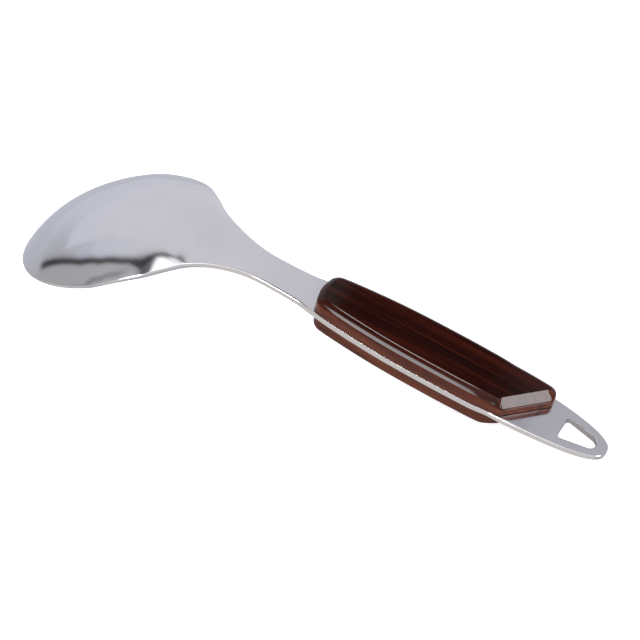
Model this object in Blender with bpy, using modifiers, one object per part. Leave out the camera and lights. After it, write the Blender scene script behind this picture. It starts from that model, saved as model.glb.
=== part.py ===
"""A one-piece stainless serving spoon with two lacquered handle scales, lying face down.

The spoon is drawn along its spine: a line down the middle of the sheet, from the tip of the bowl (0)
to the end of the hanging tab. Every place on it is a distance along that line. The spine starts at the
handle's slope and turns flat, so the handle is drawn level and the pose empty tips the whole spoon
onto its two points of rest: the tip of the bowl and the end of the tab.
"""

import bmesh
import bpy
import math
from mathutils import Matrix, Vector

# Driving dimensions, in millimetres and degrees.
SPOON_LENGTH = 254.1        # along the spine, from bowl tip to tab end
SHEET = 2.6                 # thickness of the handle's steel
BOWL_SHEET_SHARE = 0.615    # the bowl is drawn thinner than the handle
GAP = 0.3                   # left between pieces that touch

BOWL_HALF_LENGTH = 49.5
BOWL_HALF_WIDTH = 33.4
BOWL_DEPTH = 14.8
BOWL_FULLNESS = 2.42        # 2 is a paraboloid, more gives a flatter back and steeper sides
BOWL_END = 98.5             # where the back of the bowl has run out into the neck
BOWL_PITCH = 40.0           # the bowl's rim plane against the handle
NECK_BEND = (51.7, 107.6)   # the spine turns from the bowl's pitch to level between these

# Half width of the steel from the bowl's widest place: bowl, flare, neck, handle.
SIDE_STATIONS = (
    (49.5, 33.4), (58.4, 31.7), (71.4, 26.9), (78.4, 21.7), (84.9, 16.0), (91.9, 11.8),
    (99.4, 8.8), (107.4, 7.05), (116.9, 6.8), (128.9, 7.4), (142.4, 9.4), (162.4, 11.1),
    (182.4, 11.6), (202.4, 11.4), (209.9, 10.9),
)
TAB_START = 209.9
TAB_DROOP = (220.4, 234.4)  # the tab turns down a little between these
TAB_DROOP_ANGLE = 1.5
TAB_SHOULDER = 1.89         # exponents of the tab's rounded outline
TAB_NOSE = 2.53

SLOT_BASE = 235.4
SLOT_TIP = 249.6
SLOT_BASE_HALF_WIDTH = 5.1
SLOT_TIP_RADIUS = 3.0
SLOT_CORNER_RADIUS = 1.4

SCALE_HEIGHT = 7.1          # flat face of a scale above the tang
SCALE_SHOULDER = 2.4        # width of the bevel between its flat face and its side
SCALE_FRONT = 132.9
SCALE_FRONT_BOW = 1.6
SCALE_FRONT_CORNER = 4.4
TAIL_CUT_NEAR = 213.4       # the scales end on a diagonal: near side first
TAIL_CUT_FAR = 232.4
TAIL_NEAR_CORNER = 3.0
TAIL_FAR_CORNER = 4.4
TAIL_BEVEL_ANGLE = 42.0     # the sloped face at the tail, against the handle
TAIL_UPPER_WALL = 4.3       # height of the upright wall under that slope, on the upper scale
TAIL_LOWER_WALL = 2.8       # and on the lower one

PIN_PLACES = {"front_handle_pin": 146.4, "middle_handle_pin": 174.4, "tail_handle_pin": 202.4}
PIN_DIAMETER = 4.0
PIN_BITE = 4.0              # how far a pin reaches into each scale

REST_PITCH = 11.82          # the handle's fall towards the tab when the spoon lies face down

TIP_LINE = 7.0              # the first cross line meets the rim this far along the spine
END_LINE = 250.0            # and the last one meets the tab's outline here
CROSS_LINES = 66
LENGTH_LINES = 14
PIN_SIDES = 24
SHOULDER_STEPS = 3
SHOULDER_FULLNESS = 0.4     # profile of the shoulder's bevel
SHARP_ANGLE = 35.0          # edges sharper than this stay crisp
TAIL_SLAB = (60.0, 60.0, 20.0)


def ease(t):
    t = min(max(t, 0.0), 1.0)
    return t * t * (3.0 - 2.0 * t)


def through_stations(stations, s):
    """A smooth curve through the stations, level at the first one, read at s."""
    last = len(stations) - 1
    i = max(k for k in range(last) if stations[k][0] <= s or k == 0)

    def slope(k):
        if k == 0:
            return 0.0
        a = stations[k - 1]
        b = stations[min(k + 1, last)]
        return (b[1] - a[1]) / (b[0] - a[0])

    (s0, w0), (s1, w1) = stations[i], stations[i + 1]
    t = (s - s0) / (s1 - s0)
    rise = (s1 - s0) * (slope(i) * t * (1 - t) ** 2 - slope(i + 1) * t * t * (1 - t))
    return w0 + (w1 - w0) * ease(t) + rise


def half_width(s):
    """Half the width of the steel at s."""
    if s < SIDE_STATIONS[0][0]:
        across = 1.0 - ((BOWL_HALF_LENGTH - s) / BOWL_HALF_LENGTH) ** 2
        return BOWL_HALF_WIDTH * math.sqrt(max(across, 0.0))
    if s < TAB_START:
        return through_stations(SIDE_STATIONS, s)
    run = min((s - TAB_START) / (SPOON_LENGTH - TAB_START), 1.0)
    return SIDE_STATIONS[-1][1] * (1.0 - run ** TAB_SHOULDER) ** (1.0 / TAB_NOSE)


def rim_place(width):
    """Where along the spine the bowl's outline near the tip has this half width."""
    return BOWL_HALF_LENGTH * (1.0 - math.sqrt(1.0 - (width / BOWL_HALF_WIDTH) ** 2))


def tab_place(width):
    """Where along the spine the tab's outline has this half width."""
    run = (1.0 - (width / SIDE_STATIONS[-1][1]) ** TAB_NOSE) ** (1.0 / TAB_SHOULDER)
    return TAB_START + (SPOON_LENGTH - TAB_START) * run


def slope_of_spine(s):
    bowl = BOWL_PITCH * (1.0 - ease((s - NECK_BEND[0]) / (NECK_BEND[1] - NECK_BEND[0])))
    tab = TAB_DROOP_ANGLE * ease((s - TAB_DROOP[0]) / (TAB_DROOP[1] - TAB_DROOP[0]))
    return math.radians(bowl - tab)


def spine_table(step=0.5):
    """Points of the spine a step apart, moved so that the level handle lies at height 0."""
    points = [Vector((0.0, 0.0, 0.0))]
    for k in range(round(SPOON_LENGTH / step)):
        angle = slope_of_spine((k + 0.5) * step)
        points.append(points[-1] + step * Vector((math.cos(angle), 0.0, math.sin(angle))))
    level = points[round(SCALE_FRONT / step)].z
    return step, [p - Vector((0.0, 0.0, level)) for p in points]


SPINE_STEP, SPINE = spine_table()


def on_spine(s):
    k = min(int(s / SPINE_STEP), len(SPINE) - 2)
    return SPINE[k].lerp(SPINE[k + 1], s / SPINE_STEP - k)


def dome(s, across):
    """Height of the bowl's back above the plane of its rim, across being 0 at the middle, 1 at the rim."""
    if s < BOWL_HALF_LENGTH:
        along = 1.0 - ((BOWL_HALF_LENGTH - s) / BOWL_HALF_LENGTH) ** 2
    else:
        run = min((s - BOWL_HALF_LENGTH) / (BOWL_END - BOWL_HALF_LENGTH), 1.0)
        along = 0.5 * (1.0 + math.cos(math.pi * run))
    inside = along * (1.0 - across * across)
    return BOWL_DEPTH * (1.0 - (1.0 - inside) ** (BOWL_FULLNESS / 2.0))


def on_steel(s, y):
    """The point of the steel's upper face at s, y to the side of the spine."""
    width = half_width(s)
    across = min(abs(y) / width, 1.0) if width > 1e-6 else 1.0
    angle = slope_of_spine(s)
    up = Vector((-math.sin(angle), 0.0, math.cos(angle)))
    return on_spine(s) + up * dome(s, across) + Vector((0.0, y, 0.0))


def cross_line(u, v):
    """The place (s, y) of a grid point: u runs from tip to tab, v from side to side, -1 to 1."""
    edge = TIP_LINE + (END_LINE - TIP_LINE) * u
    width = half_width(edge)
    if edge < BOWL_HALF_LENGTH:
        fade = (1.0 - (edge - TIP_LINE) / (BOWL_HALF_LENGTH - TIP_LINE)) ** 2
        bow = TIP_LINE - rim_place(abs(v) * half_width(TIP_LINE))
        return edge - bow * fade, v * width
    if edge > TAB_START:
        fade = ((edge - TAB_START) / (END_LINE - TAB_START)) ** 2
        bow = tab_place(abs(v) * half_width(END_LINE)) - END_LINE
        return edge + bow * fade, v * width
    return edge, v * width


def metres(point):
    return point * 0.001


def clear_scene():
    for thing in list(bpy.data.objects):
        bpy.data.objects.remove(thing, do_unlink=True)


def new_collection(name):
    collection = bpy.data.collections.new(name)
    bpy.context.scene.collection.children.link(collection)
    return collection


def new_material(name, colour, roughness, metallic):
    material = bpy.data.materials.new(name)
    material.use_nodes = True
    shader = material.node_tree.nodes["Principled BSDF"]
    shader.inputs["Base Color"].default_value = (*colour, 1.0)
    shader.inputs["Roughness"].default_value = roughness
    shader.inputs["Metallic"].default_value = metallic
    return material


def object_from(bm, name, collection, material=None):
    bmesh.ops.recalc_face_normals(bm, faces=bm.faces)
    mesh = bpy.data.meshes.new(name)
    bm.to_mesh(mesh)
    bm.free()
    made = bpy.data.objects.new(name, mesh)
    collection.objects.link(made)
    if material:
        mesh.materials.append(material)
    return made


def prism(outline, low, high):
    """A bmesh of the outline, a list of (x, y), pulled up from low to high."""
    bm = bmesh.new()
    base = bm.faces.new([bm.verts.new((x, y, low)) for x, y in outline])
    pulled = bmesh.ops.extrude_face_region(bm, geom=[base])
    top = [item for item in pulled["geom"] if isinstance(item, bmesh.types.BMVert)]
    bmesh.ops.translate(bm, verts=top, vec=(0.0, 0.0, high - low))
    return bm


def rounded(corners, steps=5):
    """An outline with its corners rounded: corners is a list of (x, y, radius)."""
    outline = []
    for k, (x, y, radius) in enumerate(corners):
        here = Vector((x, y))
        if radius == 0.0:
            outline.append((x, y))
            continue
        back = (Vector(corners[k - 1][:2]) - here).normalized()
        ahead = (Vector(corners[(k + 1) % len(corners)][:2]) - here).normalized()
        half = back.angle(ahead) / 2.0
        centre = here + (back + ahead).normalized() * radius / math.sin(half)
        start = here + back * radius / math.tan(half) - centre
        turn = start.angle_signed(here + ahead * radius / math.tan(half) - centre)
        for step in range(steps + 1):
            outline.append(tuple(centre + Matrix.Rotation(-turn * step / steps, 2) @ start))
    return outline


def cut(target, cutter):
    cutter.hide_render = True
    cutter.display_type = "WIRE"
    cutter.parent = target.parent
    boolean = target.modifiers.new("cut_" + cutter.name, "BOOLEAN")
    boolean.operation = "DIFFERENCE"
    boolean.solver = "EXACT"
    boolean.object = cutter


def x_of(s):
    """Distance along the level handle, for a place on the spine."""
    return on_spine(s).x


def slot_outline():
    lean = SLOT_BASE_HALF_WIDTH - SLOT_TIP_RADIUS
    reach = SLOT_TIP - SLOT_TIP_RADIUS - SLOT_BASE
    nose = SLOT_BASE_HALF_WIDTH - lean * (reach + SLOT_TIP_RADIUS) / reach
    base, tip = x_of(SLOT_BASE), x_of(SLOT_TIP)
    corners = [
        (base, -SLOT_BASE_HALF_WIDTH, SLOT_CORNER_RADIUS),
        (tip, -nose, nose * 0.96),
        (tip, nose, nose * 0.96),
        (base, SLOT_BASE_HALF_WIDTH, SLOT_CORNER_RADIUS),
    ]
    return [(x * 0.001, y * 0.001) for x, y in rounded(corners, steps=7)]


def pin_cutter(name, x, low, high, collection):
    bm = bmesh.new()
    radius = (PIN_DIAMETER / 2.0 + GAP) * 0.001
    bmesh.ops.create_cone(
        bm, cap_ends=True, segments=PIN_SIDES, radius1=radius, radius2=radius, depth=(high - low) * 0.001
    )
    bmesh.ops.translate(bm, verts=bm.verts, vec=metres(Vector((x, 0.0, (low + high) / 2.0))))
    return object_from(bm, name, collection)


def make_bowl_and_tang(parts, cutters, material, pose):
    """The bowl, neck, tang and hanging tab: one stamped and pressed sheet."""
    bm = bmesh.new()
    bmesh.ops.create_grid(bm, x_segments=CROSS_LINES, y_segments=LENGTH_LINES, size=1.0)
    thick = {}
    for vert in bm.verts:
        s, y = cross_line((vert.co.x + 1.0) / 2.0, vert.co.y)
        vert.co = metres(on_steel(s, y))
        share = ease((s - BOWL_HALF_LENGTH) / (NECK_BEND[1] - BOWL_HALF_LENGTH))
        thick[vert.index] = BOWL_SHEET_SHARE + (1.0 - BOWL_SHEET_SHARE) * share
    steel = object_from(bm, "bowl_and_tang", parts, material)
    steel.parent = pose
    group = steel.vertex_groups.new(name="sheet_thickness")
    for index, weight in thick.items():
        group.add([index], weight, "REPLACE")
    solid = steel.modifiers.new("sheet", "SOLIDIFY")
    solid.thickness = SHEET * 0.001
    solid.offset = -1.0
    solid.vertex_group = "sheet_thickness"
    slot = object_from(prism(slot_outline(), -0.02, 0.02), "slot_cutter", cutters)
    cut(steel, slot)
    for name, place in PIN_PLACES.items():
        cut(steel, pin_cutter(name + "_hole", x_of(place), -SHEET * 2.0, SHEET, cutters))
    steel.data.shade_smooth()
    steel.data.set_sharp_from_angle(angle=math.radians(SHARP_ANGLE))
    return steel


def scale_outline():
    """The plan of a scale: flush with the tang's sides, bowed at the front, cut on a diagonal behind."""
    front = SCALE_FRONT + SCALE_FRONT_BOW
    side = [front + SCALE_FRONT_CORNER + k * 6.0 for k in range(40)]
    near = [s for s in side if s < TAIL_CUT_NEAR - 2.0 * TAIL_NEAR_CORNER]
    far = [s for s in side if s < TAIL_CUT_FAR - 2.5 * TAIL_FAR_CORNER]
    width = half_width(front)
    corners = [(x_of(s), -half_width(s), 0.0) for s in near]
    corners += [
        (x_of(TAIL_CUT_NEAR), -half_width(TAIL_CUT_NEAR), TAIL_NEAR_CORNER),
        (x_of(TAIL_CUT_FAR), half_width(TAIL_CUT_FAR), TAIL_FAR_CORNER),
    ]
    corners += [(x_of(s), half_width(s), 0.0) for s in reversed(far)]
    corners += [
        (x_of(front), width, SCALE_FRONT_CORNER),
        (x_of(SCALE_FRONT), 0.0, 0.0),
        (x_of(front), -width, SCALE_FRONT_CORNER),
    ]
    return [(x * 0.001, y * 0.001) for x, y in rounded(corners)]


def tail_cutter(name, wall, collection):
    """A slab whose underside is the sloped face at the scale's tail."""
    near = Vector((x_of(TAIL_CUT_NEAR), -half_width(TAIL_CUT_NEAR), 0.0))
    far = Vector((x_of(TAIL_CUT_FAR), half_width(TAIL_CUT_FAR), 0.0))
    along = (far - near).normalized()
    outward = along.cross(Vector((0.0, 0.0, 1.0))).normalized()
    angle = math.radians(TAIL_BEVEL_ANGLE)
    upward = Vector((0.0, 0.0, math.cos(angle))) + outward * math.sin(angle)
    slope = along.cross(upward)
    foot = (near + far) / 2.0 + Vector((0.0, 0.0, wall))
    bm = bmesh.new()
    bmesh.ops.create_cube(bm, size=1.0)
    frame = Matrix((along, slope, upward)).transposed().to_4x4()
    size = Matrix.Diagonal((*TAIL_SLAB, 1.0))
    shift = Matrix.Translation(foot + upward * TAIL_SLAB[2] / 2.0)
    bmesh.ops.transform(bm, matrix=Matrix.Scale(0.001, 4) @ shift @ frame @ size, verts=bm.verts)
    return object_from(bm, name, collection)


def make_scale(name, side, parts, cutters, material, pose):
    """One handle scale: side is 1 above the tang and -1 below it."""
    low, high = GAP * 0.001, SCALE_HEIGHT * 0.001
    bm = prism(scale_outline(), low, high)
    weight = bm.edges.layers.float.new("bevel_weight_edge")
    for edge in bm.edges:
        edge[weight] = float(all(abs(vert.co.z - high) < 1e-6 for vert in edge.verts))
    scale = object_from(bm, name, parts, material)
    scale.parent = pose
    shoulder = scale.modifiers.new("shoulder", "BEVEL")
    shoulder.width = SCALE_SHOULDER * 0.001
    shoulder.segments = SHOULDER_STEPS
    shoulder.profile = SHOULDER_FULLNESS
    shoulder.limit_method = "WEIGHT"
    wall = TAIL_UPPER_WALL if side > 0 else TAIL_LOWER_WALL
    cut(scale, tail_cutter(name + "_tail_cutter", wall, cutters))
    for pin, place in PIN_PLACES.items():
        hole = pin_cutter(f"{name}_{pin}_hole", x_of(place), -SHEET, PIN_BITE + GAP, cutters)
        cut(scale, hole)
    if side < 0:
        turn_under(scale)
    scale.data.shade_smooth()
    scale.data.set_sharp_from_angle(angle=math.radians(SHARP_ANGLE))
    return scale


def turn_under(scale):
    """Mirrors a scale and its cutters to the tang's lower face."""
    mirror = Matrix.Translation((0.0, 0.0, -SHEET * 0.001)) @ Matrix.Diagonal((1.0, 1.0, -1.0, 1.0))
    for thing in [scale] + [m.object for m in scale.modifiers if m.type == "BOOLEAN"]:
        thing.data.transform(mirror)
        thing.data.flip_normals()


def make_pin(name, place, parts, material, pose):
    """A plain pin through the tang, its ends hidden in the two scales."""
    reach = SHEET + 2.0 * PIN_BITE
    bm = bmesh.new()
    bmesh.ops.create_cone(
        bm, cap_ends=True, segments=PIN_SIDES, radius1=PIN_DIAMETER * 0.0005,
        radius2=PIN_DIAMETER * 0.0005, depth=reach * 0.001
    )
    pin = object_from(bm, name, parts, material)
    pin.parent = pose
    pin.location = metres(Vector((x_of(place), 0.0, -SHEET / 2.0)))
    return pin


def lay_down(pose, steel):
    """Tips the spoon onto its two points of rest and centres its box over the origin."""
    pose.rotation_euler = (0.0, math.radians(REST_PITCH), 0.0)
    bpy.context.view_layer.update()
    shape = steel.evaluated_get(bpy.context.evaluated_depsgraph_get())
    points = [shape.matrix_world @ vert.co for vert in shape.data.vertices]
    low = Vector([min(p[k] for p in points) for k in range(3)])
    high = Vector([max(p[k] for p in points) for k in range(3)])
    middle = (low + high) / 2.0
    pose.location = (-middle.x, -middle.y, -low.z)
    return high - low


def main():
    clear_scene()
    parts = new_collection("serving_spoon")
    cutters = new_collection("cutters")
    cutters.hide_render = True
    steel_finish = new_material("polished_steel", (0.60, 0.60, 0.62), 0.18, 1.0)
    wood_finish = new_material("lacquered_wood", (0.13, 0.022, 0.012), 0.12, 0.0)
    pin_finish = new_material("pin_steel", (0.45, 0.45, 0.46), 0.35, 1.0)
    pose = bpy.data.objects.new("spoon_pose", None)
    parts.objects.link(pose)
    steel = make_bowl_and_tang(parts, cutters, steel_finish, pose)
    make_scale("upper_handle_scale", 1, parts, cutters, wood_finish, pose)
    make_scale("lower_handle_scale", -1, parts, cutters, wood_finish, pose)
    for name, place in PIN_PLACES.items():
        make_pin(name, place, parts, pin_finish, pose)
    size = lay_down(pose, steel)
    print("steel size in mm:", [round(side * 1000.0, 2) for side in size])
    print("pose location in mm:", [round(side * 1000.0, 3) for side in pose.location])


main()
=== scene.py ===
# %% [markdown]
# # A serving spoon with two lacquered handle scales
#
# The real object is one stamped and pressed sheet of stainless steel: bowl, neck, handle strip (the
# tang) and a hanging tab with a slot. Two wooden scales under thick gloss lacquer are fixed to the
# tang's upper and lower face with hidden pins. The spoon lies face down, on the tip of its bowl and the
# end of its tab. This lesson loads the working model as a fixed frame and builds the fine surfaces round
# it: first the shapes, then the finishes, then floor, light and camera.

import math

import bmesh
import bpy
import numpy as np
from mathutils import Matrix, Vector


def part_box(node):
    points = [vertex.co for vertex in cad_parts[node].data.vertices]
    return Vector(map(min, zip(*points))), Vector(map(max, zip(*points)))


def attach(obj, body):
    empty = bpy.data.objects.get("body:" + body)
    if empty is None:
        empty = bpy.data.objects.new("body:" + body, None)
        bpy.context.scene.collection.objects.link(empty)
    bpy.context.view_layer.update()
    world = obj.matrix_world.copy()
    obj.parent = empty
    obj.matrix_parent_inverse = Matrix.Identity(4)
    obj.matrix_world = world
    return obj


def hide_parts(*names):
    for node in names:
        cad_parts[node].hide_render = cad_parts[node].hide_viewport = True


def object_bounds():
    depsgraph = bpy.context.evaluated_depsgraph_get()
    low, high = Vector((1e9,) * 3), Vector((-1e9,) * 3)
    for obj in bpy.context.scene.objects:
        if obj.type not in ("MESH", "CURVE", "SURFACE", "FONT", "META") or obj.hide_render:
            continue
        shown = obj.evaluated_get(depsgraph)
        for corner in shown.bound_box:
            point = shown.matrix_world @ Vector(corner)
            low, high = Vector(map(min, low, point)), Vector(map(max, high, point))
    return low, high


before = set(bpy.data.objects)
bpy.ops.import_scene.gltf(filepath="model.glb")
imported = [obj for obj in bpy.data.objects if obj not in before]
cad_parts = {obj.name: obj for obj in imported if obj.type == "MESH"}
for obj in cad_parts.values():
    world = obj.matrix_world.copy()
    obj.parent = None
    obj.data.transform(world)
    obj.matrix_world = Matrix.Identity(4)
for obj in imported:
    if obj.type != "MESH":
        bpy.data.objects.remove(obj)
cad_low, cad_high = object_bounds()
steel_low, steel_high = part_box("bowl_and_tang")

# %% [markdown]
# ## The spine, the outline and the dome
#
# A spoon like this is drawn from a strip: a line down the middle of the sheet from the tip of the bowl
# (0) to the end of the tab, and a half width to each side of it. The sheet could be modelled by pushing
# a subdivided plane about, but three small formulas hold the form better: the slope of the spine bends
# the strip, the half width cuts it out, and the dome presses the bowl. All of them are in millimetres,
# with the handle level; the whole spoon is tipped to its place of rest at the end.

# %% Driving dimensions, in millimetres and degrees
SPOON_LENGTH = 254.1
SHEET = 2.6
BOWL_SHEET = 1.6
BOWL_HALF_LENGTH = 49.5
BOWL_HALF_WIDTH = 33.4
BOWL_DEPTH = 14.8
BOWL_FULLNESS = 2.42
BOWL_END = 98.5
BOWL_PITCH = 40.0
NECK_BEND = (51.7, 107.6)
SIDE_STATIONS = np.array((
    (49.5, 33.4), (58.4, 31.7), (71.4, 26.9), (78.4, 21.7), (84.9, 16.0), (91.9, 11.8),
    (99.4, 8.8), (107.4, 7.05), (116.9, 6.8), (128.9, 7.4), (142.4, 9.4), (162.4, 11.1),
    (182.4, 11.6), (202.4, 11.4), (209.9, 10.9),
))
TAB_START = 209.9
TAB_DROOP = (220.4, 234.4)
TAB_DROOP_ANGLE = 1.5
TAB_SHOULDER = 1.89
TAB_NOSE = 2.53
FLUSH_FROM = 127.0
FLUSH_RUN = 8.0
FLUSH_SHARE = 0.92
BOWL_ROLL_SHARE = 0.5
REST_PITCH = 11.82
LEVEL_PLACE = 133.0
MM = 0.001


def ease(t):
    t = np.clip(t, 0.0, 1.0)
    return t * t * (3.0 - 2.0 * t)


def slope_of_spine(s):
    bowl = BOWL_PITCH * (1.0 - ease((s - NECK_BEND[0]) / (NECK_BEND[1] - NECK_BEND[0])))
    tab = TAB_DROOP_ANGLE * ease((s - TAB_DROOP[0]) / (TAB_DROOP[1] - TAB_DROOP[0]))
    return np.radians(bowl - tab)


SPINE_STEP = 0.25
spine_s = np.arange(-8.0, SPOON_LENGTH + 8.0, SPINE_STEP)
spine_angle = slope_of_spine(spine_s + SPINE_STEP / 2.0)
spine_x = np.concatenate(([0.0], np.cumsum(np.cos(spine_angle[:-1]) * SPINE_STEP)))
spine_z = np.concatenate(([0.0], np.cumsum(np.sin(spine_angle[:-1]) * SPINE_STEP)))
spine_x -= np.interp(0.0, spine_s, spine_x)
spine_z -= np.interp(LEVEL_PLACE, spine_s, spine_z)
print("the neck rises", round(float(-np.interp(0.0, spine_s, spine_z)), 1), "mm above the bowl's tip")

# %% [markdown]
# ## Half width and bowl
#
# The outline is an ellipse round the bowl, a smooth curve through a few stations down the neck and the
# handle, and a rounded nose on the tab. Each one takes an inset, so the same function also gives the
# line where the rolled edge begins; the roll is smaller on the thin bowl and nearly gone between the
# scales, where steel and wood are ground flush. The dome is a paraboloid with a flatter back and
# steeper flanks.

# %% Outline and dome
station_s, station_w = SIDE_STATIONS.T
station_slope = np.zeros(len(station_s))
station_slope[1:-1] = (station_w[2:] - station_w[:-2]) / (station_s[2:] - station_s[:-2])
station_slope[-1] = (station_w[-1] - station_w[-2]) / (station_s[-1] - station_s[-2])


def through_stations(s):
    """The Hermite curve through the stations and its slope."""
    i = np.clip(np.searchsorted(station_s, s, side="right") - 1, 0, len(station_s) - 2)
    span = station_s[i + 1] - station_s[i]
    t = (s - station_s[i]) / span
    rise = station_w[i + 1] - station_w[i]
    a, b = station_slope[i] * span, station_slope[i + 1] * span
    value = station_w[i] + rise * ease(t) + a * t * (1 - t) ** 2 - b * t * t * (1 - t)
    slope = rise * 6 * t * (1 - t) + a * (1 - t) * (1 - 3 * t) - b * t * (2 - 3 * t)
    return value, slope / span


def roll_share(s):
    """How much of the full edge roll there is at s: less on the thin bowl and between the scales."""
    along_neck = ease((s - BOWL_HALF_LENGTH) / (BOWL_END - BOWL_HALF_LENGTH))
    between_scales = ease((s - FLUSH_FROM) / FLUSH_RUN) * ease((TAB_START - s) / FLUSH_RUN)
    return (BOWL_ROLL_SHARE + (1.0 - BOWL_ROLL_SHARE) * along_neck) * (1.0 - FLUSH_SHARE * between_scales)


def half_width(s, inset=0.0):
    """Half the width of the steel at s, drawn in by the inset."""
    s = np.asarray(s, float)
    bowl_inset = inset * BOWL_ROLL_SHARE
    round_part = 1.0 - ((BOWL_HALF_LENGTH - s) / (BOWL_HALF_LENGTH - bowl_inset)) ** 2
    bowl = (BOWL_HALF_WIDTH - bowl_inset) * np.sqrt(np.maximum(round_part, 0.0))
    value, slope = through_stations(np.clip(s, station_s[0], station_s[-1]))
    side = value - inset * roll_share(s) * np.sqrt(1.0 + slope ** 2)
    run = np.clip((s - TAB_START) / (SPOON_LENGTH - inset - TAB_START), 0.0, 1.0)
    tab = (station_w[-1] - inset) * (1.0 - run ** TAB_SHOULDER) ** (1.0 / TAB_NOSE)
    return np.where(s < station_s[0], bowl, np.where(s < TAB_START, side, tab))


def dome(s, y):
    """Height of the bowl's back above the plane of its rim."""
    front = 1.0 - ((BOWL_HALF_LENGTH - s) / BOWL_HALF_LENGTH) ** 2 - (y / BOWL_HALF_WIDTH) ** 2
    run = np.clip((s - BOWL_HALF_LENGTH) / (BOWL_END - BOWL_HALF_LENGTH), 0.0, 1.0)
    width = np.maximum(half_width(s), 1.0)
    back = 0.5 * (1.0 + np.cos(np.pi * run)) * (1.0 - (y / width) ** 2)
    inside = np.clip(np.where(s < BOWL_HALF_LENGTH, front, back), 0.0, 1.0)
    return BOWL_DEPTH * (1.0 - (1.0 - inside) ** (BOWL_FULLNESS / 2.0))


def on_steel(s, y):
    """Points of the steel's upper face, one row each, in the level handle's frame."""
    angle = slope_of_spine(s)
    lift = dome(s, y)
    x = np.interp(s, spine_s, spine_x) - np.sin(angle) * lift
    z = np.interp(s, spine_s, spine_z) + np.cos(angle) * lift
    return np.stack((x, y, z), axis=-1)


def steel_normal(s, y, h=0.05):
    along = on_steel(s + h, y) - on_steel(s - h, y)
    across = on_steel(s, y + h) - on_steel(s, y - h)
    normal = np.cross(along, across)
    return normal / np.linalg.norm(normal, axis=-1, keepdims=True)


def sheet_thickness(s):
    share = ease((s - BOWL_HALF_LENGTH) / (NECK_BEND[1] - BOWL_HALF_LENGTH))
    return BOWL_SHEET + (SHEET - BOWL_SHEET) * share


print("bowl", 2 * BOWL_HALF_LENGTH, "by", 2 * BOWL_HALF_WIDTH, "mm")

# %% [markdown]
# ## The hanging slot
#
# The slot is a rounded wedge: the outline stretched round three circles, two small ones at its base and
# a larger one at its tip. Growing all three radii gives the same slot with a margin, which is what the
# rolled edge and the loft to the tab's outline need.

# %% Slot outline
SLOT_BASE = 235.4
SLOT_TIP = 249.6
SLOT_BASE_HALF_WIDTH = 5.1
SLOT_TIP_RADIUS = 3.0
SLOT_CORNER_RADIUS = 1.4
SLOT_CENTRE = 241.4
SLOT_DIRECTIONS = 720
slot_circles = np.array((
    (SLOT_BASE + SLOT_CORNER_RADIUS, SLOT_CORNER_RADIUS - SLOT_BASE_HALF_WIDTH, SLOT_CORNER_RADIUS),
    (SLOT_BASE + SLOT_CORNER_RADIUS, SLOT_BASE_HALF_WIDTH - SLOT_CORNER_RADIUS, SLOT_CORNER_RADIUS),
    (SLOT_TIP - SLOT_TIP_RADIUS, 0.0, SLOT_TIP_RADIUS),
))


def by_angle(points, angles):
    """The points of a closed outline seen from the slot's centre at these angles."""
    own = np.arctan2(points[:, 1], points[:, 0] - SLOT_CENTRE)
    order = np.argsort(own)
    own, points = own[order], points[order]
    return np.stack([np.interp(angles, own, points[:, k], period=2 * np.pi) for k in (0, 1)], axis=-1)


def slot_ring(angles, grow=0.0):
    facing = np.linspace(0.0, 2.0 * np.pi, SLOT_DIRECTIONS + 1)[:-1]
    out = np.stack((np.cos(facing), np.sin(facing)), axis=-1)
    reach = out @ slot_circles[:, :2].T + slot_circles[:, 2]
    best = slot_circles[np.argmax(reach, axis=1)]
    return by_angle(best[:, :2] + out * (best[:, 2] + grow)[:, None], angles)


print("slot", round(SLOT_TIP - SLOT_BASE, 1), "mm long")

# %% [markdown]
# ## The steel sheet
#
# The sheet could be a plane with Solidify and Bevel, cut by a Boolean. A slot cut that way leaves odd
# faces in a polished surface, where every one of them shows as a dent. So the tab is lofted instead,
# from its outline to the slot, and the rest is a plain grid of lines across the spine. The same pattern
# of lines makes the upper face, the loops round the rolled edge and the lower face.

# %% Plan of the sheet
TIP_LINE = 7.0
SPLIT_LINE = 226.5
ROWS = 250
COLUMNS = 60
TAB_POINTS = 96
TAB_RINGS = 14
TAB_SAMPLES = 400


def ellipse_place(y, inset):
    bowl_inset = inset * BOWL_ROLL_SHARE
    across = np.clip(y / (BOWL_HALF_WIDTH - bowl_inset), -1.0, 1.0)
    return BOWL_HALF_LENGTH - (BOWL_HALF_LENGTH - bowl_inset) * np.sqrt(1.0 - across ** 2)


def sheet_grid(inset):
    """Places (s, y) of the grid from the bowl's tip to the line where the tab begins."""
    line = np.linspace(TIP_LINE, SPLIT_LINE, ROWS)[:, None]
    v = np.linspace(-1.0, 1.0, COLUMNS)[None, :]
    y = v * half_width(line, inset)
    fade = np.clip(1.0 - (line - TIP_LINE) / (BOWL_HALF_LENGTH - TIP_LINE), 0.0, 1.0) ** 2
    bow = TIP_LINE - ellipse_place(v * half_width(TIP_LINE, inset), inset)
    return np.stack((line - bow * fade, y), axis=-1)


def tab_outline(inset):
    """Places round the tab, from one end of the split line to the other."""
    turn = np.sin(np.linspace(0.0, np.pi / 2, TAB_SAMPLES))
    run = turn * (SPOON_LENGTH - inset - SPLIT_LINE) + SPLIT_LINE
    side = np.stack((run, half_width(run, inset)), axis=-1)
    dense = np.concatenate((side, side[::-1] * (1.0, -1.0)))
    corner = math.atan2(float(half_width(SPLIT_LINE, inset)), SPLIT_LINE - SLOT_CENTRE)
    return by_angle(dense, np.linspace(corner, -corner, TAB_POINTS))


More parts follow.
